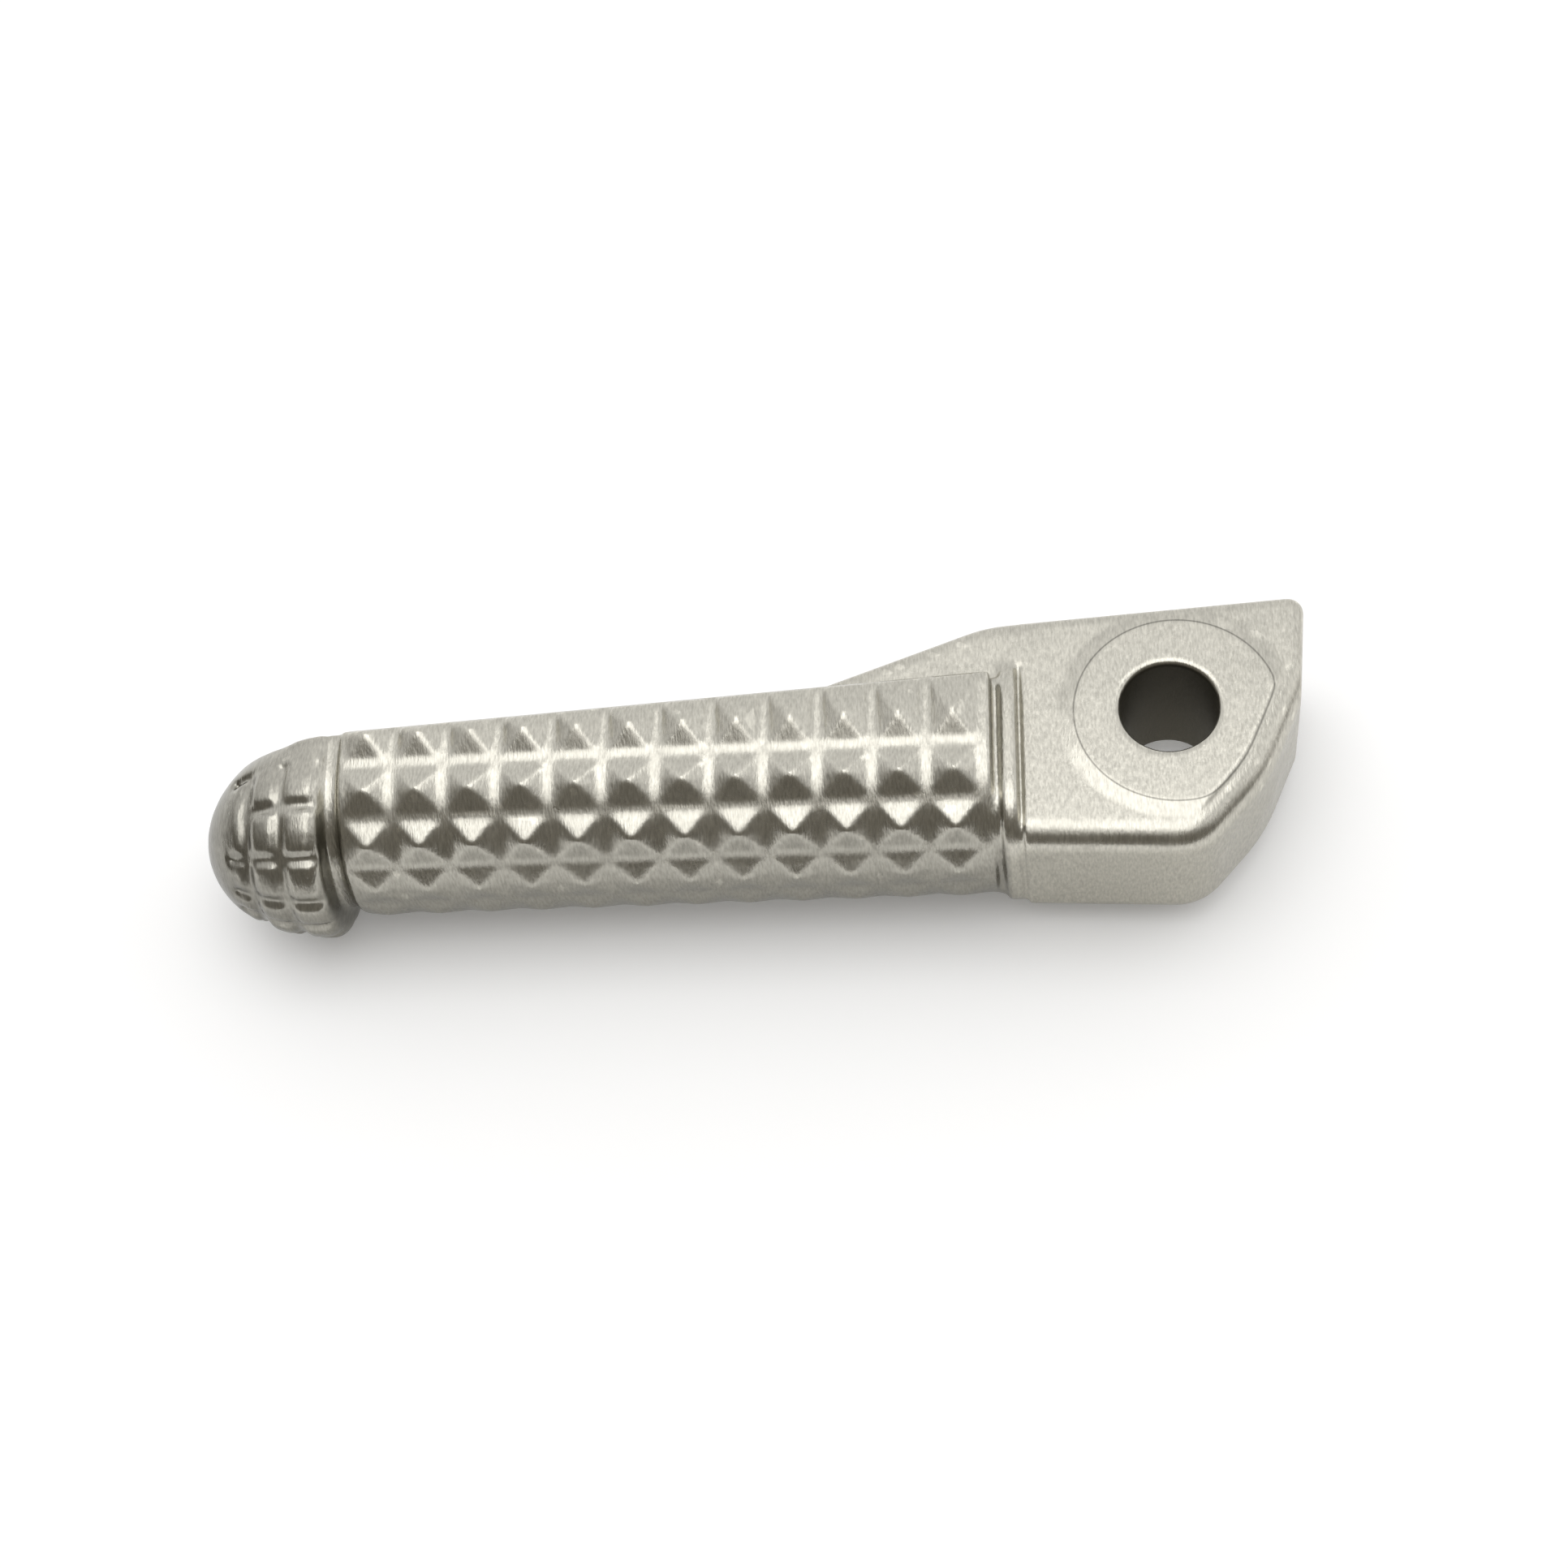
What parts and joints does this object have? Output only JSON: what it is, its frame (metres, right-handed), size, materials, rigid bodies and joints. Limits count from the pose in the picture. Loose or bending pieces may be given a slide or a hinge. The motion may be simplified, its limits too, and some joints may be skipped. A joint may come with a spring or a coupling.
{
  "type": "motorcycle rear footrest",
  "caption": "Folding rear footrest for a motorcycle: cast aluminium bar with a studded round grip, a blocked nose and a flat pivot lug with a through bore.",
  "frame": {"origin": "on the axis of the pivot bore, halfway through the lug", "axes": "+Z along the pivot bore, +X from the nose towards the lug, -Y towards the side that the boot presses on"},
  "size_m": [0.1162, 0.0306, 0.0238],
  "materials": {
    "cast_aluminium": "satin, bead blasted"
  },
  "bodies": {
    "root": {"footrest": "cast_aluminium"}
  },
  "joints": []
}
